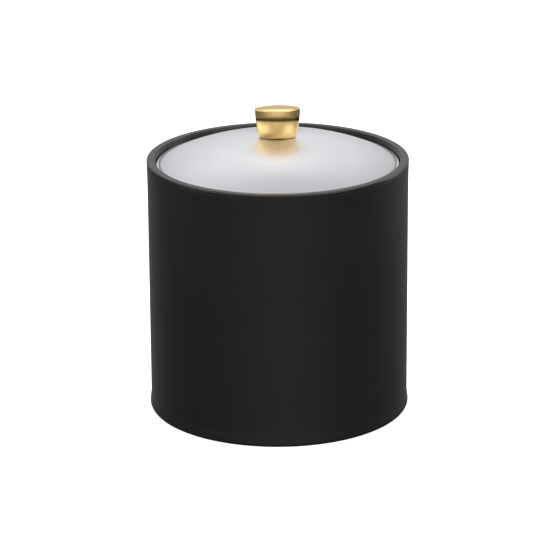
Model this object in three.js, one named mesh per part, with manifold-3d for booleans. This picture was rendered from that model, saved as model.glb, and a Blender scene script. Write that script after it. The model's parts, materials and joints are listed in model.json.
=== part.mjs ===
// Insulated bar ice bucket: a black leatherette drum with a moulded liner and rim, closed by a
// lift-off domed metal lid with a brass knob. Millimetres, +Z up. The origin is the centre of the
// base, on the surface that the bucket stands on. The knob's long side runs along X.
import * as THREE from "three";
import { mergeVertices } from "three/addons/utils/BufferGeometryUtils.js";
import Module from "manifold-3d";

const wasm = await Module();
wasm.setup();

// ---- Driving dimensions --------------------------------------------------------------------
const gap = 0.3; // clearance between neighbouring pieces
const bigRound = 40; // facets round every large ring, so that nested rings share their angles
const smallRound = 20; // facets round the knob's fixings

// bucket, from the outside in
const wallRadius = 98.1; // leatherette wall
const topRadius = 98.5; // where the wall flares slightly below the rim
const bulgeRadius = 99.0; // where the leatherette goes round the base ring
const rimTop = 195.4; // crest of the rim
const rimFlange = 1.5; // thickness of the rim's flange
const wrapSkin = 0.9; // leatherette
const hemBottom = 0.4; // the turned-under hem stays just off the table
const hemInner = 94.0;
const shellOuter = wallRadius - wrapSkin - gap;
const shellThickness = 2.4;
const shellInner = shellOuter - shellThickness;
const rebate = 0.9; // depth of the seats for the base ring and the top band
const baseRingHeight = 8.4;
const topBandHeight = 20.4;
const padRadius = 93.6;
const padThickness = 1.6;
const boardThickness = 3;

// liner, rim and the ledge that the lid sits on
const mouthRadius = 91.8; // inside the rim, above the ledge
const ledgeRadius = 86.2; // hole through the ledge
const ledgeTop = 187.3;
const ledgeThickness = 1.6;
const linerThickness = 2;
const linerFloor = 30; // upper face of the floor
const linerFloorRadius = 80.5; // inside, just above the floor's corner
const linerCorner = 7; // radius of the floor's inside corner

// lid
const lidRadius = 91.2;
const lidEdgeTop = 191.6; // flat top of the edge ring
const domeRadius = 89.2; // foot of the dome, inside the edge ring
const domeFoot = 191.5;
const domeRise = 19.2;
const domePower = 2.26; // the dome's height falls off as this power of the radius
const domeFlat = 13.2; // radius of the flat seat under the knob
const domeSkin = 1.0;
const lidFlange = 0.8;
const panFlange = 1.0;
const panSkin = 1.5;
const plugBottom = 177;
const plugRadiusTop = 85.4;
const plugRadiusBottom = 84.2;

// knob, widest at the top, with curved front and back faces and narrow flat ends
const knobHeight = 23.8;
const knobCrown = 1; // how far the top falls from its middle to its edges
const knobHalfLength = 16.9; // at the top
const knobHalfDepth = 9.9; // at the top, in the middle
const knobEndHalfDepth = 2.6; // the flat ends
const knobBaseHalfLength = 13.6;
const knobBaseHalfDepth = 5.0;
const knobLean = 1.12; // how far the upper part of the front and back would lean in over the full height
const screwRadius = 2.45; // M5 thread, drawn plain
const screwHole = 2.75;

// ---- Helpers -------------------------------------------------------------------------------
function finish(color, roughness, metalness = 0) {
  return new THREE.MeshStandardMaterial({ color, roughness, metalness });
}

function piece(name, geometry, material) {
  const mesh = new THREE.Mesh(geometry, material);
  mesh.name = name;
  return mesh;
}

// Twice the area that a profile of [radius, height] points encloses, positive if it runs
// anticlockwise.
function turning(profile) {
  return profile.reduce((sum, [r, z], i) => {
    const [nextR, nextZ] = profile[(i + 1) % profile.length];
    return sum + r * nextZ - nextR * z;
  }, 0);
}

// A solid of revolution about Z. A profile that touches the axis starts and ends on it, and any
// other closes on itself.
function turned(profile, facets = bigRound) {
  const points = turning(profile) > 0 ? [...profile] : [...profile].reverse();
  const onAxis = points.filter(([r]) => r === 0).length;
  if (onAxis === 0) points.push(points[0]);
  while (onAxis > 0 && !(points[0][0] === 0 && points.at(-1)[0] === 0)) points.push(points.shift());
  const lathe = new THREE.LatheGeometry(
    points.map(([r, z]) => new THREE.Vector2(r, z)),
    facets,
  );
  return lathe.rotateX(Math.PI / 2);
}

// Points of a round corner, from one angle to another in degrees.
function corner(centreR, centreZ, radius, from, to, steps = 3) {
  return Array.from({ length: steps + 1 }, (_, i) => {
    const angle = THREE.MathUtils.degToRad(from + ((to - from) * i) / steps);
    return [centreR + radius * Math.cos(angle), centreZ + radius * Math.sin(angle)];
  });
}

function toSolid(geometry) {
  const bare = geometry.clone();
  bare.deleteAttribute("normal");
  bare.deleteAttribute("uv");
  const merged = mergeVertices(bare, 1e-4);
  return new wasm.Manifold(
    new wasm.Mesh({
      numProp: 3,
      vertProperties: merged.attributes.position.array,
      triVerts: new Uint32Array(merged.index.array),
    }),
  );
}

function fromSolid(solid) {
  const { vertProperties, triVerts } = solid.getMesh();
  const geometry = new THREE.BufferGeometry();
  geometry.setAttribute("position", new THREE.BufferAttribute(vertProperties, 3));
  geometry.setIndex(new THREE.BufferAttribute(triVerts, 1));
  geometry.computeVertexNormals();
  return geometry;
}

// Height of the dome's outer face at a radius.
function domeHeight(r) {
  const fall = (Math.max(r, domeFlat) / domeRadius) ** domePower;
  return domeFoot + domeRise * (1 - fall);
}

// The dome's line between two radii, moved down by a depth.
function domeLine(fromR, toR, depth, steps) {
  return Array.from({ length: steps + 1 }, (_, i) => {
    const r = fromR + ((toR - fromR) * i) / steps;
    return [r, domeHeight(r) - depth];
  });
}

const sealThickness = 1;
const linerRim = ledgeTop - ledgeThickness - gap - sealThickness - gap; // top of the liner's flange
const linerWallFoot = linerFloor + linerCorner;

// Inside radius of the liner's tapered wall at a height.
function linerWall(z) {
  const share = (z - linerWallFoot) / (linerRim - linerWallFoot);
  return linerFloorRadius + (ledgeRadius - linerFloorRadius) * share;
}

// ---- Finishes ------------------------------------------------------------------------------
const leatherette = finish(0x1e1d1e, 0.55);
const fibreboard = finish(0x8a6f52, 0.9);
const mouldedBlack = finish(0x232324, 0.5);
const foam = finish(0xeceae2, 0.9);
const felt = finish(0x17171a, 0.95);
const silicone = finish(0x3a3b3d, 0.6);
const satinMetal = finish(0xd3d4d8, 0.35, 0.9);
const brightEdge = finish(0xdcdde0, 0.2, 0.95);
const polishedBrass = finish(0xe1b96a, 0.15, 1);
const zincSteel = finish(0xb9bcc0, 0.3, 0.9);

// ---- Bucket --------------------------------------------------------------------------------
// Leatherette sleeve: flares below the rim, bulges round the base ring and turns under the base.
function wrap() {
  const top = rimTop - rimFlange - gap;
  const flareFoot = top - topBandHeight - 2;
  const flareMiddle = [wallRadius + 0.12, (top + flareFoot) / 2];
  const bulgeTop = [wallRadius, 11];
  const bulgeMiddle = [wallRadius + 0.3, 8];
  const bulgeFoot = [bulgeRadius - 0.15, 5];
  const bulgeCorner = 2.8;
  const inward = ([r, z]) => [r - wrapSkin, z];
  const cornerZ = hemBottom + bulgeCorner;
  const cornerR = bulgeRadius - bulgeCorner;
  const inner = bulgeCorner - wrapSkin;
  return turned([
    [topRadius - wrapSkin, top],
    [topRadius, top],
    flareMiddle,
    [wallRadius, flareFoot],
    bulgeTop,
    bulgeMiddle,
    bulgeFoot,
    ...corner(cornerR, cornerZ, bulgeCorner, 0, -90),
    [hemInner, hemBottom],
    [hemInner, hemBottom + wrapSkin],
    ...corner(cornerR, cornerZ, inner, -90, 0),
    inward(bulgeFoot),
    inward(bulgeMiddle),
    inward(bulgeTop),
    [wallRadius - wrapSkin, flareFoot],
    inward(flareMiddle),
  ]);
}

const webThickness = 1.4;
const webTop = hemBottom + wrapSkin + gap + webThickness; // top of the base ring's inward web

// Rigid fibreboard tube, rebated outside at both ends.
function outerShell() {
  const bottom = webTop + gap;
  const top = rimTop - rimFlange - gap;
  return turned([
    [shellInner, bottom],
    [shellOuter - rebate, bottom],
    [shellOuter - rebate, bottom + baseRingHeight],
    [shellOuter, bottom + baseRingHeight],
    [shellOuter, top - topBandHeight],
    [shellOuter - rebate, top - topBandHeight],
    [shellOuter - rebate, top],
    [shellInner, top],
  ]);
}

// Hoop let into the top of the shell, which makes the slight flare.
function topBand() {
  const top = rimTop - rimFlange - gap;
  const inner = shellOuter - rebate + gap;
  const foot = top - topBandHeight + gap;
  return turned([
    [inner, foot],
    [shellOuter, foot],
    [topRadius - wrapSkin - gap, top],
    [inner, top],
  ]);
}

// Angle-section ring that the shell stands in, which makes the bulge.
function baseRing() {
  const outer = bulgeRadius - wrapSkin - gap;
  const inner = shellOuter - rebate + gap;
  const bottom = hemBottom + wrapSkin + gap;
  const top = webTop + baseRingHeight;
  const chamfer = 1.4;
  const slopeFoot = 3; // where the bulge starts to lean in
  const shoulder = 2.4;
  return turned([
    [shellInner, bottom],
    [outer - chamfer, bottom],
    [outer, bottom + chamfer],
    [outer, bottom + slopeFoot],
    [shellOuter + 0.15, top - shoulder],
    [shellOuter - 0.1, top],
    [inner, top],
    [inner, webTop],
    [shellInner, webTop],
  ]);
}

const boardBottom = padThickness + gap;
const boardTop = boardBottom + boardThickness;

function disc(radius, bottom, top, edge) {
  return turned([
    [0, bottom],
    [radius - edge, bottom],
    [radius, bottom + edge],
    [radius, top - edge],
    [radius - edge, top],
    [0, top],
  ]);
}

// Foam disc between the base board and the liner's floor.
function bottomInsulation() {
  const top = linerFloor - linerThickness - gap;
  return disc(shellInner - gap, boardTop + gap, top, 1);
}

// Foam sleeve between the shell and the liner's tapered wall.
function sideInsulation() {
  const bottom = linerFloor - linerThickness;
  const top = linerRim - linerThickness - gap;
  const clear = linerThickness + gap;
  return turned([
    [linerWall(linerWallFoot) + clear, bottom],
    [shellInner - gap, bottom],
    [shellInner - gap, top],
    [linerWall(top) + clear, top],
    [linerWall(linerWallFoot) + clear, linerWallFoot],
  ]);
}

// Moulded inner bucket with a flange that carries it.
function liner() {
  const cornerR = linerFloorRadius - linerCorner;
  return turned([
    [0, linerFloor - linerThickness],
    ...corner(cornerR, linerWallFoot, linerCorner + linerThickness, -90, 0, 4),
    [linerWall(linerRim) + linerThickness, linerRim - linerThickness],
    [shellInner - gap, linerRim - linerThickness],
    [shellInner - gap, linerRim],
    [ledgeRadius, linerRim],
    ...corner(cornerR, linerWallFoot, linerCorner, 0, -90, 4),
    [0, linerFloor],
  ]);
}

// Flat gasket between the liner's flange and the rim.
function linerSeal() {
  const inner = ledgeRadius + 0.4;
  const outer = inner + 5.6;
  const bottom = linerRim + gap;
  return turned([
    [inner, bottom],
    [outer, bottom],
    [outer, bottom + sealThickness],
    [inner, bottom + sealThickness],
  ]);
}

// Stepped rim: a flange that caps the wall, a skirt inside it and the ledge for the lid.
function rimRing() {
  const outerCorner = 1.1;
  const innerCorner = 1.5;
  const flangeBottom = rimTop - rimFlange;
  return turned([
    [topRadius, flangeBottom],
    ...corner(topRadius - outerCorner, rimTop - outerCorner, outerCorner, 0, 90),
    ...corner(mouthRadius + innerCorner, rimTop - innerCorner, innerCorner, 90, 180),
    [mouthRadius, ledgeTop],
    [ledgeRadius, ledgeTop],
    [ledgeRadius, ledgeTop - ledgeThickness],
    [shellInner - gap, ledgeTop - ledgeThickness],
    [shellInner - gap, flangeBottom],
  ]);
}

// ---- Lid -----------------------------------------------------------------------------------
const shellFlangeBottom = domeFoot - 2 * lidFlange; // the dome's flange lies one skin below its foot
const shellFlangeTop = shellFlangeBottom + lidFlange;
const panFlangeTop = shellFlangeBottom - gap;
const panFlangeBottom = panFlangeTop - panFlange;
const flangeRadius = lidRadius - 1;

// Spun dome with a flat seat and a screw hole for the knob.
function lidShell() {
  const foot = domeRadius - domeSkin;
  return turned([
    [screwHole, domeHeight(0)],
    ...domeLine(domeFlat, domeRadius, 0, 6),
    [domeRadius, shellFlangeTop],
    [flangeRadius, shellFlangeTop],
    [flangeRadius, shellFlangeBottom],
    [foot, shellFlangeBottom],
    ...domeLine(foot, domeFlat, domeSkin, 6),
    [screwHole, domeHeight(0) - domeSkin],
  ]);
}

// Channel-section ring crimped round the flanges of the dome and the pan.
function lidEdgeRing() {
  const wall = 0.7;
  const lip = 0.4;
  const lipReach = 1.5;
  const lipBottom = panFlangeBottom - gap - lip;
  const round = 0.4;
  return turned([
    [domeRadius + gap, lidEdgeTop],
    ...corner(lidRadius - round, lidEdgeTop - round, round, 90, 0, 2),
    [lidRadius, lipBottom],
    [lidRadius - lipReach, lipBottom],
    [lidRadius - lipReach, lipBottom + lip],
    [lidRadius - wall, lipBottom + lip],
    [lidRadius - wall, shellFlangeTop + gap],
    [domeRadius + gap, shellFlangeTop + gap],
  ]);
}

// Moulded plug that closes the lid's underside.
function lidPan() {
  const chamfer = 1.2;
  return turned([
    [0, plugBottom],
    [plugRadiusBottom - chamfer, plugBottom],
    [plugRadiusBottom, plugBottom + chamfer],
    [plugRadiusTop, panFlangeBottom],
    [flangeRadius, panFlangeBottom],
    [flangeRadius, panFlangeTop],
    [plugRadiusTop - panSkin, panFlangeTop],
    [plugRadiusBottom - panSkin, plugBottom + panSkin],
    [0, plugBottom + panSkin],
  ]);
}

// Foam disc that fills the lid, with a well for the knob's screw.
function lidInsulation() {
  const well = 9;
  const bottom = plugBottom + panSkin + gap;
  const outer = plugRadiusTop - panSkin - gap;
  return turned([
    [well, bottom],
    [plugRadiusBottom - panSkin - gap, bottom],
    [outer, panFlangeTop],
    ...domeLine(outer, domeFlat, domeSkin + gap, 5),
    [well, domeHeight(0) - domeSkin - gap],
  ]);
}

// Soft ring under the lid's flange, with a bead that beds on the ledge.
function lidGasket() {
  const bottom = ledgeTop + 0.1;
  const bead = 0.4; // how far the bead stands down
  const top = panFlangeBottom - gap;
  const inner = plugRadiusTop + gap;
  const outer = inner + 3.6;
  return turned([
    [inner, bottom + bead],
    [inner + 0.7, bottom + bead],
    [inner + 0.7 + bead, bottom],
    [outer - 0.7 - bead, bottom],
    [outer - 0.7, bottom + bead],
    [outer, bottom + bead],
    [outer, top],
    [inner, top],
  ]);
}

const knobBottom = domeHeight(0) + gap;

// Plan of the knob at its top: a long arc front and back, and short flat ends.
function knobPlan() {
  const sagitta = knobHalfDepth - knobEndHalfDepth;
  const radius = (knobHalfLength ** 2 + sagitta ** 2) / (2 * sagitta);
  const half = Math.asin(knobHalfLength / radius);
  const shape = new THREE.Shape();
  shape.absarc(0, radius - knobHalfDepth, radius, -Math.PI / 2 - half, -Math.PI / 2 + half);
  shape.absarc(0, knobHalfDepth - radius, radius, Math.PI / 2 - half, Math.PI / 2 + half);
  shape.closePath();
  return shape;
}

// An ellipsoid whose top is the knob's crown. It is far wider than the knob everywhere else.
function crownBall() {
  const radius = 50; // upright
  const reach = Math.sqrt(1 - (1 - knobCrown / radius) ** 2);
  return new THREE.SphereGeometry(1, 24, 48)
    .rotateX(Math.PI / 2)
    .scale(knobHalfLength / reach, knobHalfDepth / reach, radius)
    .translate(0, 0, knobHeight - radius);
}

// The knob's ends narrow towards the base along a sine. Its front and back lean in evenly and
// flare in sharply only near the base.
function knob() {
  const bevel = 0.5;
  const waist = knobHalfDepth - knobBaseHalfDepth - knobLean;
  const holeDepth = 11;
  const blank = new THREE.ExtrudeGeometry(knobPlan(), {
    depth: knobHeight - 2 * bevel,
    steps: 8,
    curveSegments: 8,
    bevelThickness: bevel,
    bevelSize: bevel,
    bevelOffset: -bevel,
    bevelSegments: 2,
  }).translate(0, 0, bevel);
  const at = blank.attributes.position;
  for (let i = 0; i < at.count; i += 1) {
    const height = at.getZ(i) / knobHeight;
    const spread = Math.sin((height * Math.PI) / 2);
    const length = knobBaseHalfLength + (knobHalfLength - knobBaseHalfLength) * spread;
    const depth = knobHalfDepth - knobLean * (1 - height) - waist * (1 - height) ** 5;
    at.setX(i, (at.getX(i) * length) / knobHalfLength);
    at.setY(i, (at.getY(i) * depth) / knobHalfDepth);
  }
  const drill = new THREE.CylinderGeometry(screwHole, screwHole, 2 * holeDepth, smallRound);
  const crowned = toSolid(blank).intersect(toSolid(crownBall()));
  const drilled = crowned.subtract(toSolid(drill.rotateX(Math.PI / 2)));
  return fromSolid(drilled).translate(0, 0, knobBottom);
}

const flatWasherThickness = 1;
const lockWasherThickness = 1.2;
const flatWasherBottom = domeHeight(0) - domeSkin - gap - flatWasherThickness;
const lockWasherBottom = flatWasherBottom - gap - lockWasherThickness;
const headTop = lockWasherBottom - gap;

function flatWasher() {
  const outer = 7;
  const top = flatWasherBottom + flatWasherThickness;
  return turned(
    [
      [screwHole, flatWasherBottom],
      [outer, flatWasherBottom],
      [outer, top],
      [screwHole, top],
    ],
    smallRound,
  );
}

// Split spring washer.
function lockWasher() {
  const outer = 4.6;
  const split = 0.12; // half of the split's angle, in radians
  const ring = new THREE.Shape();
  ring.absarc(0, 0, outer, split, 2 * Math.PI - split, false);
  ring.absarc(0, 0, screwHole, 2 * Math.PI - split, split, true);
  ring.closePath();
  const options = { depth: lockWasherThickness, bevelEnabled: false, curveSegments: 16 };
  return new THREE.ExtrudeGeometry(ring, options).translate(0, 0, lockWasherBottom);
}

// Pan-head screw with a cross recess, driven up into the knob.
function knobScrew() {
  const headRadius = 4.7;
  const headHeight = 3.2;
  const tip = knobBottom + 9.5;
  const point = 0.8;
  const body = turned(
    [
      [0, headTop - headHeight],
      [headRadius * 0.6, headTop - headHeight],
      [headRadius * 0.92, headTop - headHeight * 0.7],
      [headRadius, headTop - headHeight * 0.35],
      [headRadius, headTop],
      [screwRadius, headTop],
      [screwRadius, tip - point],
      [screwRadius - point, tip],
      [0, tip],
    ],
    smallRound,
  );
  const slotLength = 4.6;
  const slotWidth = 1;
  const slotDepth = 1.8;
  const slot = (long, wide) =>
    toSolid(new THREE.BoxGeometry(long, wide, 2 * slotDepth).translate(0, 0, headTop - headHeight));
  const recess = slot(slotLength, slotWidth).add(slot(slotWidth, slotLength));
  return fromSolid(toSolid(body).subtract(recess));
}

// ---- Assembly ------------------------------------------------------------------------------
const bucket = new THREE.Group();
bucket.add(
  piece("wrap", wrap(), leatherette),
  piece("outer_shell", outerShell(), fibreboard),
  piece("top_band", topBand(), fibreboard),
  piece("base_ring", baseRing(), mouldedBlack),
  piece("base_board", disc(shellInner - gap, boardBottom, boardTop, 0.4), fibreboard),
  piece("base_pad", disc(padRadius, 0, padThickness, 0.3), felt),
  piece("bottom_insulation", bottomInsulation(), foam),
  piece("side_insulation", sideInsulation(), foam),
  piece("liner", liner(), mouldedBlack),
  piece("liner_seal", linerSeal(), silicone),
  piece("rim_ring", rimRing(), mouldedBlack),
);

const lid = new THREE.Group();
lid.add(
  piece("lid_shell", lidShell(), satinMetal),
  piece("lid_edge_ring", lidEdgeRing(), brightEdge),
  piece("lid_pan", lidPan(), mouldedBlack),
  piece("lid_insulation", lidInsulation(), foam),
  piece("lid_gasket", lidGasket(), silicone),
  piece("knob", knob(), polishedBrass),
  piece("knob_screw", knobScrew(), zincSteel),
  piece("knob_flat_washer", flatWasher(), zincSteel),
  piece("knob_lock_washer", lockWasher(), zincSteel),
);

const iceBucket = new THREE.Group();
iceBucket.add(bucket, lid);

export default iceBucket;
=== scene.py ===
"""Looks of the ice bucket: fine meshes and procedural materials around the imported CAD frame.

Lengths in the code are millimetres unless a name ends in _m; Blender's own are metres.
"""

import math

import bpy
from mathutils import Matrix, Vector
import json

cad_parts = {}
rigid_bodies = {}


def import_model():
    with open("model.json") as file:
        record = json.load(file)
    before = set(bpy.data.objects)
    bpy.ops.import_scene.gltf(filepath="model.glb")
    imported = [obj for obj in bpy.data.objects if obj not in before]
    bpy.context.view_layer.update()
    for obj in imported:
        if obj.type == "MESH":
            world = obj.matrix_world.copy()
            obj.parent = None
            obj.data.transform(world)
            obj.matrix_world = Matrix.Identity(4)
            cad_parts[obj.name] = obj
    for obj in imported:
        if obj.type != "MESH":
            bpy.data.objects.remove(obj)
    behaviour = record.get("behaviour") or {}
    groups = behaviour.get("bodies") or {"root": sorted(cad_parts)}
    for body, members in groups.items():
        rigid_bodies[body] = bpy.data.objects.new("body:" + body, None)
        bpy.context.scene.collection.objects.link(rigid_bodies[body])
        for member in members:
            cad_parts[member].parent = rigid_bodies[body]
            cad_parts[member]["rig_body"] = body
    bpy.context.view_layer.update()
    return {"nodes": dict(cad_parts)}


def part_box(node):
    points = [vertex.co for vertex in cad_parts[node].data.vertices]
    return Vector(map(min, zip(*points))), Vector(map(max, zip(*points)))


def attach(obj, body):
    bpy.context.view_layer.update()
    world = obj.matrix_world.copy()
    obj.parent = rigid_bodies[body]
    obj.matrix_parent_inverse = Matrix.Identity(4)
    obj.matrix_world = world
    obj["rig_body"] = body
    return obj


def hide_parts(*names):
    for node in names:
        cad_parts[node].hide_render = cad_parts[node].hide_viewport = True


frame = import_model()

MM = 0.001
GAP = 0.3  # clearance that the CAD pieces keep to their neighbours


def extent(node):
    """A round node's outside radius, lowest level and highest level, in millimetres."""
    low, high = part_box(node)
    return high.x / MM, low.z / MM, high.z / MM


# ---- Sizes, read from the frame ------------------------------------------------------------
BULGE_R, WRAP_LOW, WRAP_TOP = extent("wrap")
RIM_R, RIM_LOW, RIM_TOP = extent("rim_ring")
SHELL_R, SHELL_LOW, SHELL_TOP = extent("outer_shell")
BAND_R, BAND_LOW, BAND_TOP = extent("top_band")
BASE_RING_R, BASE_RING_LOW, BASE_RING_TOP = extent("base_ring")
BOARD_R, BOARD_LOW, BOARD_TOP = extent("base_board")
PAD_R, PAD_LOW, PAD_TOP = extent("base_pad")
LINER_R, LINER_LOW, LINER_TOP = extent("liner")
SEAL_R, SEAL_LOW, SEAL_TOP = extent("liner_seal")
FLOOR_FOAM_R, FLOOR_FOAM_LOW, FLOOR_FOAM_TOP = extent("bottom_insulation")
WALL_FOAM_R, WALL_FOAM_LOW, WALL_FOAM_TOP = extent("side_insulation")
DOME_R, DOME_LOW, DOME_TOP = extent("lid_shell")
EDGE_R, EDGE_LOW, EDGE_TOP = extent("lid_edge_ring")
PAN_R, PAN_LOW, PAN_TOP = extent("lid_pan")
LID_FOAM_LOW = extent("lid_insulation")[1]
GASKET_R, GASKET_LOW, GASKET_TOP = extent("lid_gasket")
KNOB_HALF_LENGTH, KNOB_LOW, KNOB_TOP = extent("knob")
KNOB_HALF_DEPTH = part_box("knob")[1].y / MM  # at the top, in the middle
SCREW_HEAD_R, SCREW_LOW, SCREW_TIP = extent("knob_screw")
WASHER_R, WASHER_LOW, WASHER_TOP = extent("knob_flat_washer")
LOCK_R, LOCK_LOW, LOCK_TOP = extent("knob_lock_washer")

# ---- Sizes that the frame doesn't give -----------------------------------------------------
WALL_R = BULGE_R - 0.9  # the drum's straight wall
WRAP_SKIN = 0.9
WRAP_CORNER = 2.8  # round at the drum's foot
WRAP_EDGE = 0.35  # softness of the cut edge under the rim
WRAP_HEM_R = 94.0  # where the wrap ends under the base
BULGE_FADE = 12.0  # level at which the foot's bulge has run into the wall
FLARE_HEIGHT = 22.4  # length of the flare below the rim
SHELL_WALL = 2.4
SHELL_REBATE = 0.9  # how deep the hoop and the base ring are let into the tube
MOUTH_R = 91.8  # inside the rim
LEDGE_R = 86.2  # hole through the ledge
LEDGE_TOP = GASKET_LOW - 0.1
FLOOR_R = 80.5  # inside the liner, above its floor's corner
FLOOR_CORNER = 7.0
LINER_SKIN = 2.0
FLOOR_TOP = LINER_LOW + LINER_SKIN
DOME_FOOT_R = DOME_R - 1.0
DOME_FOOT = DOME_LOW + 1.6
DOME_RISE = 19.2
DOME_POWER = 2.26
DOME_FLAT_R = 13.2
DOME_SKIN = 1.0
DOME_FLANGE = 0.8
PLUG_TOP_R = 85.4
PLUG_BOTTOM_R = 84.2
PAN_SKIN = 1.5
SCREW_HOLE_R = 2.75
SCREW_R = 2.45
SCREW_HOLE_DEPTH = 10.7  # in the knob
KNOB_END_HALF_DEPTH = 2.6  # of the flat ends, at the top
KNOB_BASE_HALF_LENGTH = 13.6
KNOB_BASE_HALF_DEPTH = 5.0
KNOB_LEAN = 1.12  # how far the front leans in over its whole height
KNOB_CROWN = 1.0  # rise of the top face in its middle


# ---- Mesh code -----------------------------------------------------------------------------
def arc(centre_r, centre_z, radius, start, stop, steps=8):
    """Points of a round corner in a profile, between two angles in degrees."""
    turn = [math.radians(start + (stop - start) * i / steps) for i in range(steps + 1)]
    return [(centre_r + radius * math.cos(a), centre_z + radius * math.sin(a)) for a in turn]


def new_piece(name, verts, faces, material, node, smooth_angle=35.0):
    """A mesh object from points in millimetres, standing for a CAD node and riding on its body."""
    mesh = bpy.data.meshes.new(name)
    mesh.from_pydata([Vector(v) * MM for v in verts], [], faces)
    mesh.validate()
    mesh.materials.append(material)
    obj = bpy.data.objects.new(name, mesh)
    bpy.context.scene.collection.objects.link(obj)
    mesh.shade_smooth()
    mesh.set_sharp_from_angle(angle=math.radians(smooth_angle))
    cad = frame["nodes"][node]
    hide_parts(node)
    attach(obj, cad["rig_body"])
    return obj


def outward(profile):
    """The profile in the order that makes a turned solid face outwards."""
    pairs = zip(profile, profile[1:] + profile[:1])
    area = sum(r0 * z1 - r1 * z0 for (r0, z0), (r1, z1) in pairs)
    return profile if area > 0 else profile[::-1]


def turned(name, profile, material, node, around=192, shift=None, angles=None):
    """A solid of revolution about Z. Points of radius 0 become one vertex on the axis.

    shift(angle, radius, height) gives how far out a point is moved.
    """
    points = outward(list(profile))
    if points[0][0] == 0 or points[-1][0] == 0:
        while not (points[0][0] == 0 and points[-1][0] == 0):
            points.append(points.pop(0))
    turns = angles or [2 * math.pi * i / around for i in range(around)]
    verts, rings = [], []
    for r, z in points:
        start = len(verts)
        if r == 0:
            verts.append((0, 0, z))
            rings.append([start] * len(turns))
            continue
        for a in turns:
            out = r + (shift(a, r, z) if shift else 0.0)
            verts.append((out * math.cos(a), out * math.sin(a), z))
        rings.append(list(range(start, start + len(turns))))
    pairs = list(zip(rings, rings[1:]))
    if points[0][0] != 0:
        pairs.append((rings[-1], rings[0]))
    faces = []
    for lower, upper in pairs:
        for i in range(len(turns)):
            j = (i + 1) % len(turns)
            quad = [lower[i], lower[j], upper[j], upper[i]]
            face = list(dict.fromkeys(quad))
            if len(face) > 2:
                faces.append(face)
    return new_piece(name, verts, faces, material, node)


def lofted(name, rings, material, node, smooth_angle=35.0):
    """A solid through rings of equal point counts, closed by a fan at each end."""
    count = len(rings[0])
    verts = [point for ring in rings for point in ring]
    faces = []
    for k in range(len(rings) - 1):
        for i in range(count):
            j = (i + 1) % count
            low, high = k * count, (k + 1) * count
            faces.append([low + i, low + j, high + j, high + i])
    for ring, start, flip in ((rings[0], 0, True), (rings[-1], (len(rings) - 1) * count, False)):
        centre = sum((Vector(p) for p in ring), Vector()) / count
        verts.append(tuple(centre))
        hub = len(verts) - 1
        for i in range(count):
            j = (i + 1) % count
            faces.append([start + j, start + i, hub] if flip else [start + i, start + j, hub])
    return new_piece(name, verts, faces, material, node, smooth_angle)


# ---- Materials -----------------------------------------------------------------------------
def math_node(tree, operation, a, b):
    """The result of a Math node whose inputs are numbers or other nodes' outputs."""
    made = tree.nodes.new("ShaderNodeMath")
    made.operation = operation
    for socket, value in zip(made.inputs, (a, b)):
        if isinstance(value, bpy.types.NodeSocket):
            tree.links.new(value, socket)
        else:
            socket.default_value = value
    return made.outputs[0]


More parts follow.
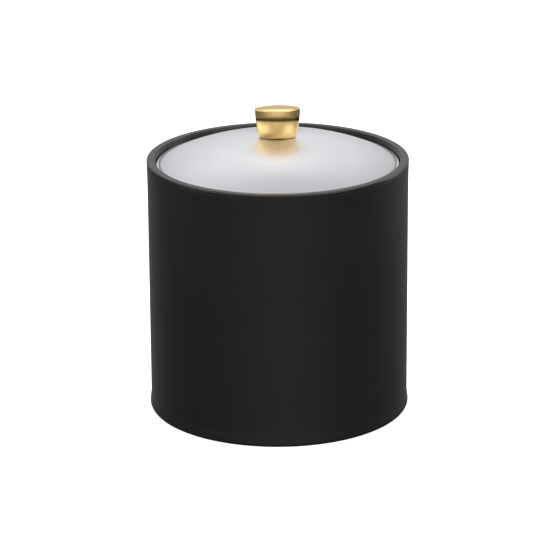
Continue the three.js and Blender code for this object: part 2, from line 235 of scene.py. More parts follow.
class Look:
    """A material under construction: one Principled shader and short calls for its textures."""

    def __init__(self, slot, colour, roughness, **sockets):
        self.material = bpy.data.materials.new(slot)
        self.material["slot"] = slot
        self.material.use_nodes = True
        self.tree = self.material.node_tree
        self.shader = self.tree.nodes["Principled BSDF"]
        self.shader.inputs["Base Color"].default_value = (*colour, 1)
        self.shader.inputs["Roughness"].default_value = roughness
        for socket, value in sockets.items():
            self.shader.inputs[socket.replace("_", " ")].default_value = value
        coordinates = self.node("ShaderNodeTexCoord")
        self.place = coordinates.outputs["Object"]

    def node(self, kind, **settings):
        made = self.tree.nodes.new(kind)
        for key, value in settings.items():
            setattr(made, key, value)
        return made

    def link(self, source, target):
        self.tree.links.new(source, target)

    def math(self, operation, a, b=0.0):
        return math_node(self.tree, operation, a, b)

    def noise(self, per_mm, detail=3.0, roughness=0.55, place=None):
        """Noise with about per_mm features to the millimetre."""
        made = self.node("ShaderNodeTexNoise")
        made.inputs["Scale"].default_value = per_mm / MM
        made.inputs["Detail"].default_value = detail
        made.inputs["Roughness"].default_value = roughness
        self.link(place or self.place, made.inputs["Vector"])
        return made.outputs["Fac"]

    def cells(self, per_mm):
        """Distance to the edge of irregular cells, about per_mm of them to the millimetre."""
        made = self.node("ShaderNodeTexVoronoi", feature="DISTANCE_TO_EDGE")
        made.inputs["Scale"].default_value = per_mm / MM
        self.link(self.place, made.inputs["Vector"])
        return made.outputs["Distance"]

    def ramp(self, value, *stops):
        """Colour stops (position, grey or colour) along a value."""
        made = self.node("ShaderNodeValToRGB")
        ramp = made.color_ramp
        while len(ramp.elements) < len(stops):
            ramp.elements.new(0.5)
        for element, (position, colour) in zip(ramp.elements, stops):
            element.position = position
            rgb = (colour,) * 3 if isinstance(colour, float) else colour
            element.color = (*rgb, 1)
        self.link(value, made.inputs["Fac"])
        return made.outputs["Color"]

    def rescale(self, value, low, high):
        """A value from 0 to 1, moved to the range from low to high."""
        made = self.node("ShaderNodeMapRange")
        made.inputs["To Min"].default_value = low
        made.inputs["To Max"].default_value = high
        self.link(value, made.inputs["Value"])
        return made.outputs["Result"]

    def stretched(self, x, y, z):
        """Object coordinates with each axis scaled."""
        made = self.node("ShaderNodeMapping")
        made.inputs["Scale"].default_value = (x, y, z)
        self.link(self.place, made.inputs["Vector"])
        return made.outputs["Vector"]

    def ring_place(self, along, across):
        """Coordinates that run round the Z axis: slow along a circle, fast across it."""
        split = self.node("ShaderNodeSeparateXYZ")
        self.link(self.place, split.inputs[0])
        x, y, z = split.outputs
        square = self.math("ADD", self.math("MULTIPLY", x, x), self.math("MULTIPLY", y, y))
        never_zero = 1e-10
        radius = self.math("SQRT", self.math("ADD", square, never_zero))
        joined = self.node("ShaderNodeCombineXYZ")
        for axis, target in zip((x, y), joined.inputs):
            self.link(self.math("MULTIPLY", self.math("DIVIDE", axis, radius), along * MM), target)
        down_share = 0.7  # how much of the change is also seen down a steep face
        drop = self.math("MULTIPLY", z, across * down_share)
        self.link(self.math("ADD", self.math("MULTIPLY", radius, across), drop), joined.inputs[2])
        return joined.outputs[0]

    def bump(self, height, depth, under=None):
        """Adds a height texture whose full swing is depth millimetres, over another if one is given."""
        made = self.node("ShaderNodeBump")
        made.inputs["Strength"].default_value = 1.0
        made.inputs["Distance"].default_value = depth * MM
        self.link(height, made.inputs["Height"])
        if under:
            self.link(under, made.inputs["Normal"])
        self.link(made.outputs["Normal"], self.shader.inputs["Normal"])
        return made.outputs["Normal"]

    def colour(self, socket):
        self.link(socket, self.shader.inputs["Base Color"])

    def roughness(self, socket):
        self.link(socket, self.shader.inputs["Roughness"])


def leatherette():
    """Black coated cloth: fine pebble grain under a thin satin top coat."""
    look = Look("leatherette", (0.0085, 0.0062, 0.0069), 0.46, Specular_IOR_Level=0.25)
    grain = look.cells(1.1)
    fine = look.noise(2.6, 2.0)
    pebble_top, fine_share = 0.28, 0.12
    pebble = look.math("MINIMUM", grain, pebble_top)
    pebble = look.math("ADD", pebble, look.math("MULTIPLY", fine, fine_share))
    slow = look.noise(0.02, 3.0)
    shades = (0.35, (0.0076, 0.0055, 0.0061)), (0.7, (0.0094, 0.0069, 0.0077))
    look.colour(look.ramp(slow, *shades))
    look.roughness(look.rescale(look.noise(0.35, 4.0), 0.42, 0.50))
    swell = look.bump(look.noise(0.03, 1.0), 0.05)
    look.bump(pebble, 0.05, under=swell)
    return look.material


def black_moulding():
    """Moulded black plastic with a fine spark texture."""
    look = Look("black_moulding", (0.0095, 0.0088, 0.0090), 0.3, Specular_IOR_Level=0.5)
    shades = (0.3, (0.0082, 0.0075, 0.0077)), (0.7, (0.0110, 0.0102, 0.0104))
    look.colour(look.ramp(look.noise(0.05), *shades))
    look.roughness(look.rescale(look.noise(0.8, 4.0), 0.25, 0.35))
    look.bump(look.noise(3.0, 2.0), 0.012)
    return look.material


def satin_aluminium():
    """Spun aluminium, finished with fine circular brushing."""
    look = Look("satin_aluminium", (0.79, 0.795, 0.82), 0.43, Metallic=1.0, Anisotropic=0.6)
    lines = look.noise(1.0, 3.0, 0.7, look.ring_place(6.0, 5.0))
    coarse = look.noise(1.0, 2.0, 0.6, look.ring_place(3.0, 0.9))
    look.colour(look.ramp(lines, (0.3, (0.76, 0.765, 0.79)), (0.7, (0.82, 0.825, 0.85))))
    look.roughness(look.rescale(coarse, 0.43, 0.50))
    look.bump(lines, 0.004)
    tangent = look.node("ShaderNodeTangent", direction_type="RADIAL", axis="Z")
    look.link(tangent.outputs[0], look.shader.inputs["Tangent"])
    return look.material


def bright_aluminium():
    """The lid's turned edge ring, brighter than the dome."""
    look = Look("bright_aluminium", (0.86, 0.86, 0.87), 0.22, Metallic=1.0)
    lines = look.noise(1.0, 3.0, 0.7, look.ring_place(6.0, 8.0))
    look.colour(look.ramp(lines, (0.3, (0.83, 0.83, 0.84)), (0.7, (0.89, 0.89, 0.90))))
    look.roughness(look.rescale(lines, 0.18, 0.27))
    look.bump(lines, 0.003)
    return look.material


def polished_brass():
    """Bright lacquered brass with faint polishing swirls."""
    look = Look("polished_brass", (0.87, 0.61, 0.25), 0.09, Metallic=1.0)
    look.colour(look.ramp(look.noise(0.12), (0.3, (0.85, 0.58, 0.225)), (0.7, (0.89, 0.635, 0.275))))
    haze = look.noise(0.5, 5.0, 0.6)
    look.roughness(look.rescale(haze, 0.06, 0.12))
    look.bump(look.noise(1.5, 3.0, 0.6, look.stretched(0.25, 1.0, 1.0)), 0.0008)
    return look.material


def fibreboard():
    """Brown board with coarse fibres."""
    look = Look("fibreboard", (0.25, 0.16, 0.09), 0.85)
    fibres = look.noise(0.6, 6.0, 0.7, look.stretched(1.0, 1.0, 0.35))
    look.colour(look.ramp(fibres, (0.3, (0.19, 0.12, 0.065)), (0.7, (0.31, 0.205, 0.12))))
    look.roughness(look.rescale(fibres, 0.78, 0.95))
    look.bump(fibres, 0.08)
    return look.material


def bead_foam():
    """White insulating foam of fused beads."""
    look = Look("foam", (0.83, 0.81, 0.74), 0.8, Specular_IOR_Level=0.3)
    beads = look.cells(0.35)
    look.colour(look.ramp(beads, (0.0, (0.66, 0.64, 0.57)), (0.18, (0.84, 0.82, 0.75))))
    look.roughness(look.rescale(look.noise(1.2), 0.7, 0.9))
    bead_top = 0.3
    look.bump(look.math("MINIMUM", beads, bead_top), 0.5)
    return look.material


def felt():
    """Black pressed felt."""
    look = Look("felt", (0.011, 0.011, 0.012), 0.95, Sheen_Weight=0.35, Sheen_Roughness=0.5)
    look.shader.inputs["Sheen Tint"].default_value = (0.25, 0.25, 0.26, 1)
    fuzz = look.noise(2.2, 6.0, 0.75)
    look.colour(look.ramp(fuzz, (0.3, (0.006, 0.006, 0.007)), (0.72, (0.02, 0.02, 0.021))))
    look.roughness(look.rescale(fuzz, 0.88, 1.0))
    look.bump(fuzz, 0.25)
    return look.material


def silicone():
    """Soft dark grey rubber."""
    look = Look("silicone", (0.04, 0.042, 0.044), 0.55)
    look.colour(look.ramp(look.noise(0.2), (0.3, (0.034, 0.036, 0.038)), (0.7, (0.047, 0.049, 0.051))))
    look.roughness(look.rescale(look.noise(0.9, 4.0), 0.48, 0.62))
    look.bump(look.noise(1.8), 0.01)
    return look.material


def zinc_steel():
    """Bright zinc-plated fixings."""
    look = Look("zinc_steel", (0.60, 0.61, 0.63), 0.3, Metallic=1.0)
    look.colour(look.ramp(look.noise(0.4), (0.3, (0.54, 0.55, 0.58)), (0.7, (0.66, 0.66, 0.67))))
    look.roughness(look.rescale(look.noise(1.1, 4.0), 0.22, 0.38))
    look.bump(look.noise(1.6), 0.006)
    return look.material


LEATHERETTE = leatherette()
BLACK_MOULDING = black_moulding()
SATIN_ALUMINIUM = satin_aluminium()
BRIGHT_ALUMINIUM = bright_aluminium()
POLISHED_BRASS = polished_brass()
FIBREBOARD = fibreboard()
FOAM = bead_foam()
FELT = felt()
SILICONE = silicone()
ZINC_STEEL = zinc_steel()


# ---- Bucket --------------------------------------------------------------------------------
def ease(share):
    """A smooth step from 0 to 1."""
    share = min(max(share, 0.0), 1.0)
    return share * share * (3 - 2 * share)


def wrap_wall():
    """The outside of the leatherette from the base's corner up to the rim: (radius, height)."""
    corner_top = WRAP_LOW + WRAP_CORNER
    fade = BULGE_FADE - corner_top
    flare_foot = WRAP_TOP - FLARE_HEIGHT
    flare = RIM_R - WALL_R
    bulge = BULGE_R - WALL_R
    levels = [corner_top + fade * i / 12 for i in range(1, 13)]
    wall = [(WALL_R + bulge * (1 - ease((z - corner_top) / fade)), z) for z in levels]
    wall += [(WALL_R, BULGE_FADE + (flare_foot - BULGE_FADE) * i / 20) for i in range(1, 20)]
    rise = [i / 12 for i in range(13)]
    top = WRAP_TOP - WRAP_EDGE
    wall += [(WALL_R + flare * s * s, flare_foot + (top - flare_foot) * s) for s in rise]
    return arc(BULGE_R - WRAP_CORNER, corner_top, WRAP_CORNER, -90, 0, 10) + wall


SEAM_ANGLE = math.pi / 2  # the back of the drum
SEAM_WIDTH = 11.0
SEAM_STEP = 0.4
SEAM_EDGE = 0.35  # width of the sharp side's slope


def seam_lift(angle, radius, height):
    """How far the overlap of the wrap's seam stands out: sharp on one side, fading on the other."""
    tolerance = 0.1
    across = (angle - SEAM_ANGLE) * WALL_R
    if radius < WALL_R - tolerance or across < 0 or across > SEAM_WIDTH:
        return 0.0
    foot, foot_fade, top_fade, top_loss, flat_share = 6.0, 8.0, 6.0, 0.6, 0.35
    pressed = ease((height - foot) / foot_fade)
    pressed *= 1 - top_loss * ease((height - WRAP_TOP + top_fade) / top_fade)
    body = 1 - ease((across / SEAM_WIDTH - flat_share) / (1 - flat_share))
    return SEAM_STEP * pressed * body * min(across / SEAM_EDGE, 1.0)


def wrap():
    outside = wrap_wall()
    top_r = outside[-1][0]
    corner_top = WRAP_LOW + WRAP_CORNER
    soft = WRAP_EDGE * 0.3
    inside = [(r - WRAP_SKIN, z) for r, z in reversed(outside) if z > corner_top]
    corner = arc(BULGE_R - WRAP_CORNER, corner_top, WRAP_CORNER - WRAP_SKIN, 0, -90, 6)
    lip = [(top_r - soft, WRAP_TOP - soft), (top_r - WRAP_EDGE, WRAP_TOP)]
    profile = outside + lip + [(top_r - WRAP_SKIN, WRAP_TOP)] + inside + corner
    profile += [(WRAP_HEM_R, WRAP_LOW + WRAP_SKIN), (WRAP_HEM_R, WRAP_LOW)]
    turns = [2 * math.pi * i / 240 for i in range(240)]
    across_seam = (-0.05, 0.0, 0.1, 0.2, SEAM_EDGE, 0.6, 1.2, 7.0, 9.0)
    seam = [SEAM_ANGLE + across / WALL_R for across in across_seam]
    angles = sorted(set(turns + seam))
    turned("wrap_leatherette", profile, LEATHERETTE, "wrap", shift=seam_lift, angles=angles)


def rim_ring():
    outer, inner, bevel, fillet, ledge_edge = 1.1, 1.5, 0.15, 0.6, 0.4
    flange_low = WRAP_TOP + GAP
    skirt_r = SHELL_R - SHELL_WALL - GAP
    profile = [(RIM_R - bevel, flange_low), (RIM_R, flange_low + bevel)]
    profile += arc(RIM_R - outer, RIM_TOP - outer, outer, 0, 90, 10)
    profile += arc(MOUTH_R + inner, RIM_TOP - inner, inner, 90, 180, 12)
    profile += arc(MOUTH_R - fillet, LEDGE_TOP + fillet, fillet, 0, -90, 5)
    profile += arc(LEDGE_R + ledge_edge, LEDGE_TOP - ledge_edge, ledge_edge, 90, 180, 5)
    profile += [(LEDGE_R, RIM_LOW), (skirt_r, RIM_LOW), (skirt_r, flange_low)]
    turned("rim_moulding", profile, BLACK_MOULDING, "rim_ring", around=256)


def liner_wall(height):
    """The liner's inside radius at a height."""
    foot = FLOOR_TOP + FLOOR_CORNER
    return FLOOR_R + (LEDGE_R - FLOOR_R) * (height - foot) / (LINER_TOP - foot)


def liner():
    lip = 1.0
    corner_r = FLOOR_R - FLOOR_CORNER
    corner_z = FLOOR_TOP + FLOOR_CORNER
    flange_low = LINER_TOP - LINER_SKIN
    levels = [corner_z + (LINER_TOP - lip - corner_z) * i / 24 for i in range(1, 24)]
    profile = [(0, LINER_LOW), (corner_r / 2, LINER_LOW)]
    profile += arc(corner_r, corner_z, FLOOR_CORNER + LINER_SKIN, -90, 0, 12)
    profile += [(liner_wall(LINER_TOP) + LINER_SKIN, flange_low)]
    profile += [(LINER_R, flange_low), (LINER_R, LINER_TOP)]
    profile += arc(LEDGE_R + lip, LINER_TOP - lip, lip, 90, 180, 6)
    profile += [(liner_wall(z), z) for z in reversed(levels)]
    profile += arc(corner_r, corner_z, FLOOR_CORNER, 0, -90, 12)
    profile += [(corner_r * i / 4, FLOOR_TOP) for i in (3, 2, 1)] + [(0, FLOOR_TOP)]
    turned("liner_moulding", profile, BLACK_MOULDING, "liner")


def disc_profile(radius, low, high, edge):
    """A flat disc with rounded edges."""
    steps = [radius * i / 6 for i in range(1, 6)]
    profile = [(0, low)] + [(r, low) for r in steps]
    profile += arc(radius - edge, low + edge, edge, -90, 0, 5)
    profile += arc(radius - edge, high - edge, edge, 0, 90, 5)
    return profile + [(r, high) for r in reversed(steps)] + [(0, high)]


def base_pad():
    turned("base_felt", disc_profile(PAD_R, PAD_LOW, PAD_TOP, 0.5), FELT, "base_pad")


def tube_and_hoop():
    """The drum's board tube, rebated at both ends, and the hoop let into its top."""
    inner = SHELL_R - SHELL_WALL
    rebate_r = SHELL_R - SHELL_REBATE
    ring_top = BASE_RING_TOP + GAP
    band_low = BAND_LOW - GAP
    shell = [(inner, SHELL_LOW), (rebate_r, SHELL_LOW), (rebate_r, ring_top)]
    shell += [(SHELL_R, ring_top), (SHELL_R, band_low), (rebate_r, band_low)]
    shell += [(rebate_r, SHELL_TOP), (inner, SHELL_TOP)]
    turned("shell_tube", shell, FIBREBOARD, "outer_shell")
    seat = rebate_r + GAP
    band = [(seat, BAND_LOW), (SHELL_R, BAND_LOW), (BAND_R, BAND_TOP), (seat, BAND_TOP)]
    turned("top_hoop", band, FIBREBOARD, "top_band")


def base_ring_and_board():
    """The angle ring that the tube stands in, and the floor of the drum."""
    corner, upright, slope = 1.4, 3.0, 2.4
    proud, shy = 0.15, 0.1  # of the tube, at the slope's top and at the ring's top
    inner = SHELL_R - SHELL_WALL
    seat = SHELL_R - SHELL_REBATE + GAP
    web_top = SHELL_LOW - GAP
    ring = [(inner, BASE_RING_LOW)]
    ring += arc(BASE_RING_R - corner, BASE_RING_LOW + corner, corner, -90, 0, 6)
    ring += [(BASE_RING_R, BASE_RING_LOW + upright), (SHELL_R + proud, BASE_RING_TOP - slope)]
    ring += [(SHELL_R - shy, BASE_RING_TOP), (seat, BASE_RING_TOP), (seat, web_top), (inner, web_top)]
    turned("base_angle_ring", ring, BLACK_MOULDING, "base_ring")
    turned("base_disc", disc_profile(BOARD_R, BOARD_LOW, BOARD_TOP, 0.4), FIBREBOARD, "base_board")


def bucket_foam_and_seal():
    """The foam under and round the liner, and the gasket on the liner's flange."""
    floor_foam = disc_profile(FLOOR_FOAM_R, FLOOR_FOAM_LOW, FLOOR_FOAM_TOP, 1.0)
    turned("floor_foam", floor_foam, FOAM, "bottom_insulation")
    clear = LINER_SKIN + GAP
    foot = FLOOR_TOP + FLOOR_CORNER
    wall_foam = [(FLOOR_R + clear, WALL_FOAM_LOW), (WALL_FOAM_R, WALL_FOAM_LOW)]
    wall_foam += [(WALL_FOAM_R, WALL_FOAM_TOP), (liner_wall(WALL_FOAM_TOP) + clear, WALL_FOAM_TOP)]
    wall_foam += [(FLOOR_R + clear, foot)]
    turned("wall_foam", wall_foam, FOAM, "side_insulation")
    inner = LEDGE_R + 0.4
    seal = [(inner, SEAL_LOW), (SEAL_R, SEAL_LOW), (SEAL_R, SEAL_TOP), (inner, SEAL_TOP)]
    turned("flange_seal", seal, SILICONE, "liner_seal")


# ---- Lid -----------------------------------------------------------------------------------
def dome_height(radius):
    """Height of the dome's outer face at a radius."""
    fall = (max(radius, DOME_FLAT_R) / DOME_FOOT_R) ** DOME_POWER
    return DOME_FOOT + DOME_RISE * (1 - fall)


def dome_line(start, stop, depth, steps):
    """Points at a depth under the dome's outer face, from one radius to another."""
    radii = [start + (stop - start) * i / steps for i in range(steps + 1)]
    return [(r, dome_height(r) - depth) for r in radii]


def lid_shell():
    foot_edge, foot_drop = 0.25, 0.1
    flange_top = DOME_LOW + DOME_FLANGE
    profile = [(SCREW_HOLE_R, DOME_TOP)] + dome_line(DOME_FLAT_R, DOME_FOOT_R - foot_edge, 0, 56)
    profile += [(DOME_FOOT_R, DOME_FOOT - foot_drop), (DOME_FOOT_R, flange_top), (DOME_R, flange_top)]
    profile += [(DOME_R, DOME_LOW), (DOME_FOOT_R - DOME_SKIN, DOME_LOW)]
    profile += dome_line(DOME_FOOT_R - DOME_SKIN, DOME_FLAT_R, DOME_SKIN, 28)
    profile += [(SCREW_HOLE_R, DOME_TOP - DOME_SKIN)]
    turned("lid_dome", profile, SATIN_ALUMINIUM, "lid_shell", around=256)


def lid_edge_ring():
    wall, lip, edge, bevel, low_edge, foot = 0.7, 0.4, 0.4, 0.12, 0.2, 1.5
    inner = DOME_FOOT_R + GAP
    leg_low = DOME_LOW + DOME_FLANGE + GAP
    lip_top = EDGE_LOW + lip
    profile = [(inner, leg_low), (inner, EDGE_TOP - bevel), (inner + bevel, EDGE_TOP)]
    profile += arc(EDGE_R - edge, EDGE_TOP - edge, edge, 90, 0, 6)
    profile += arc(EDGE_R - low_edge, EDGE_LOW + low_edge, low_edge, 0, -90, 4)
    profile += [(EDGE_R - foot, EDGE_LOW), (EDGE_R - foot, lip_top), (EDGE_R - wall, lip_top)]
    profile += [(EDGE_R - wall, leg_low)]
    turned("lid_bright_edge", profile, BRIGHT_ALUMINIUM, "lid_edge_ring", around=256)


def lid_pan():
    corner = 1.2
    flange_low = GASKET_TOP + GAP
    profile = [(0, PAN_LOW)] + [(PLUG_BOTTOM_R * i / 6, PAN_LOW) for i in range(1, 6)]
    profile += arc(PLUG_BOTTOM_R - corner, PAN_LOW + corner, corner, -90, 0, 6)
    profile += [(PLUG_TOP_R, flange_low), (PAN_R, flange_low), (PAN_R, PAN_TOP)]
    profile += [(PLUG_TOP_R - PAN_SKIN, PAN_TOP), (PLUG_BOTTOM_R - PAN_SKIN, PAN_LOW + PAN_SKIN)]
    profile += [(0, PAN_LOW + PAN_SKIN)]
    turned("lid_plug", profile, BLACK_MOULDING, "lid_pan")


def lid_gasket():
    """A flat ring with a round bead under it."""
    bead_place, bead_r, bead_depth = 1.8, 0.9, 0.4
    inner = PLUG_TOP_R + GAP
    foot = GASKET_LOW + bead_depth
    middle = inner + bead_place
    turns = [math.pi * (1 + i / 8) for i in range(1, 8)]
    profile = [(inner, foot), (middle - bead_r, foot)]
    profile += [(middle + bead_r * math.cos(a), foot + bead_depth * math.sin(a)) for a in turns]
    profile += [(middle + bead_r, foot), (GASKET_R, foot), (GASKET_R, GASKET_TOP), (inner, GASKET_TOP)]
    turned("lid_seat_gasket", profile, SILICONE, "lid_gasket")


def lid_foam():
    well = 9.0  # room for the screw
    plug = PLUG_TOP_R - PAN_SKIN - GAP
    profile = [(well, LID_FOAM_LOW), (PLUG_BOTTOM_R - PAN_SKIN - GAP, LID_FOAM_LOW), (plug, PAN_TOP)]
    profile += dome_line(plug, DOME_FLAT_R, DOME_SKIN + GAP, 20)
    profile += [(well, DOME_TOP - DOME_SKIN - GAP)]
    turned("lid_foam", profile, FOAM, "lid_insulation")


# ---- Knob and its fixings ------------------------------------------------------------------
def knob_outline(half_length, half_depth, half_end, corner, height):
    """A lens with cut-off ends and rounded corners, as a ring of points at a height."""
    rise = half_depth - half_end
    radius = (half_length**2 + rise**2) / (2 * rise)
    centre_y = radius - half_depth
    corner_x = half_length - corner
    corner_y = math.sqrt((radius - corner) ** 2 - corner_x**2) - centre_y
    lean = math.atan2(corner_y + centre_y, corner_x)
    quarter = []
    end_steps, corner_steps, face_steps = 4, 8, 26
    for i in range(end_steps):
        quarter.append((half_length, corner_y * i / end_steps))
    for i in range(corner_steps):
        a = lean * i / corner_steps
        quarter.append((corner_x + corner * math.cos(a), corner_y + corner * math.sin(a)))
    for i in range(face_steps):
        a = lean + (math.pi / 2 - lean) * i / face_steps
        quarter.append((radius * math.cos(a), radius * math.sin(a) - centre_y))
    second = [(-x, y) for x, y in reversed(quarter[1:])]
    upper = quarter + [(0.0, half_depth)] + second
    lower = [(-x, -y) for x, y in upper]
    return [(x, y, height) for x, y in upper + lower]


def knob_ring(height, inset=0.0):
    """The knob's outline at a height, drawn in by an inset at its rounded edges."""
    corner_r, corner_loss, least_end = 0.7, 0.5, 0.9
    waist = KNOB_HALF_DEPTH - KNOB_BASE_HALF_DEPTH - KNOB_LEAN
    share = min(max((height - KNOB_LOW) / (KNOB_TOP - KNOB_LOW), 0), 1)
    spread = math.sin(math.pi / 2 * share)
    long = KNOB_BASE_HALF_LENGTH + (KNOB_HALF_LENGTH - KNOB_BASE_HALF_LENGTH) * spread
    deep = KNOB_HALF_DEPTH - KNOB_LEAN * (1 - share) - waist * (1 - share) ** 5
    end = max(KNOB_END_HALF_DEPTH * deep / KNOB_HALF_DEPTH - inset, least_end)
    return knob_outline(long - inset, deep - inset, end, corner_r - corner_loss * inset, height)


def knob():
    edge = 0.55
    top_level = KNOB_TOP - KNOB_CROWN
    side_low, side_high = KNOB_LOW + edge, top_level - edge
    rings = []
    for a in (90, 60, 30, 0):
        turn = math.radians(a)
        rings.append(knob_ring(KNOB_LOW + edge * (1 - math.sin(turn)), edge * (1 - math.cos(turn))))
    rings += [knob_ring(side_low + (side_high - side_low) * i / 24) for i in range(1, 24)]
    for a in (0, 15, 30, 45, 60, 75, 90):
        turn = math.radians(a)
        rings.append(knob_ring(side_high + edge * math.sin(turn), edge * (1 - math.cos(turn))))
    rim = rings[-1]
    for share in (0.96, 0.9, 0.8, 0.7, 0.6, 0.5, 0.4, 0.3, 0.2, 0.1):
        level = top_level + KNOB_CROWN * (1 - share * share)
        rings.append([(x * share, y * share, level) for x, y, _ in rim])
    angles = [math.atan2(y, x) for x, y, _ in rings[0]]
    circle = [(SCREW_HOLE_R * math.cos(a), SCREW_HOLE_R * math.sin(a)) for a in angles]
    hole = [[(x, y, level) for x, y in circle] for level in (KNOB_LOW + SCREW_HOLE_DEPTH, KNOB_LOW)]
    lofted("knob_brass", hole + rings, POLISHED_BRASS, "knob")


def knob_screw():
    """Pan-head screw with a small round recess and a helical thread."""
    pitch, tooth, around = 0.8, 0.32, 48
    head_top = LOCK_LOW - GAP
    head_height = head_top - SCREW_LOW
    shank_top = SCREW_TIP - 0.8
    plain, tip, tip_taper, recess = 0.5, 0.9, 0.7, 2.0

    def thread(angle, radius, height):
        if height <= head_top + plain or height >= SCREW_TIP - tip or radius < SCREW_R - 0.2:
            return 0.0
        phase = (height / pitch - angle / (2 * math.pi)) % 1.0
        return -tooth * abs(2 * phase - 1)

    profile = [(0, SCREW_LOW + recess), (0.55, SCREW_LOW + recess), (0.75, SCREW_LOW + 0.3)]
    for width, rise in ((0.6, 0.0), (0.8, 0.15), (0.95, 0.4), (1.0, 0.7), (1.0, 1.0)):
        profile.append((SCREW_HEAD_R * width, SCREW_LOW + head_height * rise))
    profile.append((SCREW_R, head_top))
    rows = int((shank_top - head_top) / (pitch / 8))
    levels = [head_top + (shank_top - head_top) * i / rows for i in range(1, rows + 1)]
    profile += [(SCREW_R, level) for level in levels]
    profile += [(SCREW_R - tip_taper, SCREW_TIP), (0, SCREW_TIP)]
    turned("knob_screw_m5", profile, ZINC_STEEL, "knob_screw", around=around, shift=thread)


def washers():
    """A flat washer and a split one."""
    edge = 0.12
    flat = arc(WASHER_R - edge, WASHER_LOW + edge, edge, -90, 0, 3)
    flat += arc(WASHER_R - edge, WASHER_TOP - edge, edge, 0, 90, 3)
    flat += [(SCREW_HOLE_R, WASHER_TOP), (SCREW_HOLE_R, WASHER_LOW)]
    turned("washer_flat", flat, ZINC_STEEL, "knob_flat_washer", around=72)
    split, bevel, steps = 0.12, 0.15, 60
    inner, outer = SCREW_HOLE_R + bevel, LOCK_R - bevel
    section = [(SCREW_HOLE_R, LOCK_LOW + bevel), (inner, LOCK_LOW), (outer, LOCK_LOW)]
    section += [(LOCK_R, LOCK_LOW + bevel), (LOCK_R, LOCK_TOP - bevel), (outer, LOCK_TOP)]
    section += [(inner, LOCK_TOP), (SCREW_HOLE_R, LOCK_TOP - bevel)]
    sweep = [split + (2 * math.pi - 2 * split) * i / steps for i in range(steps + 1)]
    rings = [[(r * math.cos(a), r * math.sin(a), z) for r, z in reversed(section)] for a in sweep]
    lofted("washer_split", rings, ZINC_STEEL, "knob_lock_washer")


wrap()
rim_ring()
liner()
base_pad()
tube_and_hoop()
base_ring_and_board()
bucket_foam_and_seal()
lid_shell()
lid_edge_ring()
lid_pan()
lid_gasket()
lid_foam()
knob()
knob_screw()
washers()


# ---- Stage, light and camera ---------------------------------------------------------------
def floor():
    """A wide, plain pale floor, lit as brightly as the backdrop. It throws no light on the bucket."""
    half_m = 6.0
    mesh = bpy.data.meshes.new("floor")
    corners = [(-half_m, -half_m, 0), (half_m, -half_m, 0), (half_m, half_m, 0), (-half_m, half_m, 0)]
    mesh.from_pydata(corners, [], [(0, 1, 2, 3)])
    look = Look("floor", (0.9, 0.9, 0.9), 0.8, Specular_IOR_Level=0.0)
    look.shader.inputs["Emission Color"].default_value = (1, 1, 1, 1)
    look.shader.inputs["Emission Strength"].default_value = 1.0
    mesh.materials.append(look.material)
    plane = bpy.data.objects.new("floor", mesh)
    plane.location.z = -0.0002
    plane.visible_diffuse = False
    plane.visible_glossy = False
    plane.visible_shadow = False
    bpy.context.scene.collection.objects.link(plane)


def softbox(name, place_m, aim_m, width_m, height_m, watts):
    """A rectangular area light that faces a point."""
    data = bpy.data.lights.new(name, "AREA")
    data.shape = "RECTANGLE"
    data.size = width_m
    data.size_y = height_m
    data.energy = watts
    lamp = bpy.data.objects.new(name, data)
    lamp.location = place_m
    lamp.rotation_euler = (Vector(aim_m) - Vector(place_m)).to_track_quat("-Z", "Y").to_euler()
    bpy.context.scene.collection.objects.link(lamp)


def surroundings(even, behind, before):
    """A white room, seen pure white. Its light is even all round, with a soft, wide swell from
    behind the bucket and another from in front, both centred a little above the horizon."""
    world = bpy.data.worlds.new("studio")
    world.use_nodes = True
    tree = world.node_tree
    background = tree.nodes["Background"]
    background.inputs["Color"].default_value = (1, 1, 1, 1)
    place = tree.nodes.new("ShaderNodeTexCoord")
    sharpness = 3.0  # of the swells, the power of the cosine
    light = even
    for toward, strength in (((0, 1, 0.3), behind), ((0, -1, 0.05), before)):
        facing = tree.nodes.new("ShaderNodeVectorMath")
        facing.operation = "DOT_PRODUCT"
        facing.inputs[1].default_value = Vector(toward).normalized()
        tree.links.new(place.outputs["Generated"], facing.inputs[0])
        cosine = math_node(tree, "MAXIMUM", facing.outputs["Value"], 0.0)
        swell = math_node(tree, "POWER", cosine, sharpness)
        light = math_node(tree, "ADD", light, math_node(tree, "MULTIPLY", swell, strength))
    path = tree.nodes.new("ShaderNodeLightPath")
    seen = tree.nodes.new("ShaderNodeMix")
    seen.data_type = "FLOAT"
    tree.links.new(path.outputs["Is Camera Ray"], seen.inputs["Factor"])
    tree.links.new(light, seen.inputs["A"])
    seen.inputs["B"].default_value = 1.0
    tree.links.new(seen.outputs["Result"], background.inputs["Strength"])
    bpy.context.scene.world = world


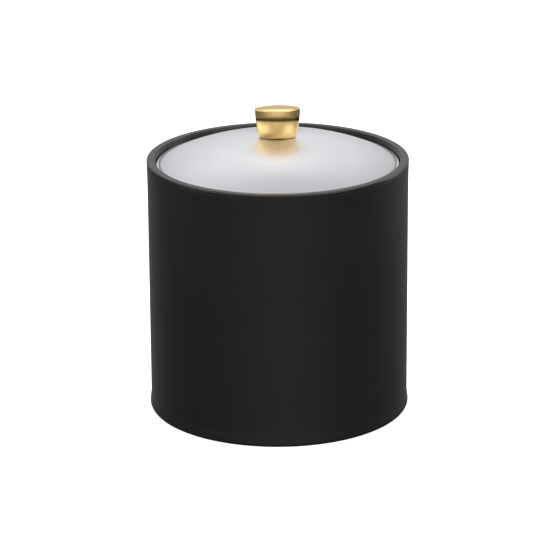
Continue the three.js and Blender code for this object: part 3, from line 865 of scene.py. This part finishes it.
def camera():
    """A long lens in front, slightly to the left and above, rolled by a third of a degree."""
    azimuth, elevation, roll = math.radians(-4.0), math.radians(18.74), math.radians(-0.36)
    distance_m = 2.2506
    focal_px, image_px, sensor_mm = 2958.0, 550.0, 36.0
    left_px, above_px = 3.43, 6.3  # how far the lens points to the left of and above the middle
    middle = Vector((0, 0, 97.15 * MM))  # half the height of the drum
    flat = math.cos(elevation)
    back = Vector((math.sin(azimuth) * flat, -math.cos(azimuth) * flat, math.sin(elevation)))
    right = Vector((math.cos(azimuth), math.sin(azimuth), 0))
    up = back.cross(right)
    px_m = distance_m / focal_px
    aim = middle - right * (left_px * px_m) + up * (above_px * px_m)
    place = middle + back * distance_m
    toward = (place - aim).normalized()
    side = up.cross(toward).normalized()
    above = toward.cross(side)
    basis = Matrix((side, above, toward)).transposed().to_4x4()
    data = bpy.data.cameras.new("camera")
    data.sensor_width = sensor_mm
    data.lens = focal_px / image_px * sensor_mm
    data.clip_start = 0.05
    made = bpy.data.objects.new("camera", data)
    made.matrix_world = Matrix.Translation(place) @ basis @ Matrix.Rotation(roll, 4, "Z")
    bpy.context.scene.collection.objects.link(made)
    bpy.context.scene.camera = made


floor()
surroundings(even=0.2, behind=0.5, before=0.85)
softbox("top", (0.0, 0.0, 1.3), (0, 0, 0.2), 1.0, 1.0, 1.3)
softbox("top_back", (0.0, 1.0, 1.1), (0, 0, 0.2), 1.3, 0.5, 2.15)
softbox("left_side", (-0.9, -0.1, 0.4), (0, 0, 0.2), 0.5, 0.5, 1.5)
softbox("right_side", (0.9, 0.3, 0.35), (0, 0, 0.15), 0.4, 0.6, 2.3)
softbox("front_left", (-0.75, -0.5, 0.6), (0, 0, 0.2), 0.7, 0.6, 2.2)
softbox("front_right", (0.75, -0.5, 0.6), (0, 0, 0.2), 0.7, 0.6, 2.2)
softbox("upper_right", (0.5, -0.3, 1.0), (0, 0, 0.15), 0.4, 0.6, 1.4)
camera()

bpy.context.scene.view_settings.view_transform = "Standard"
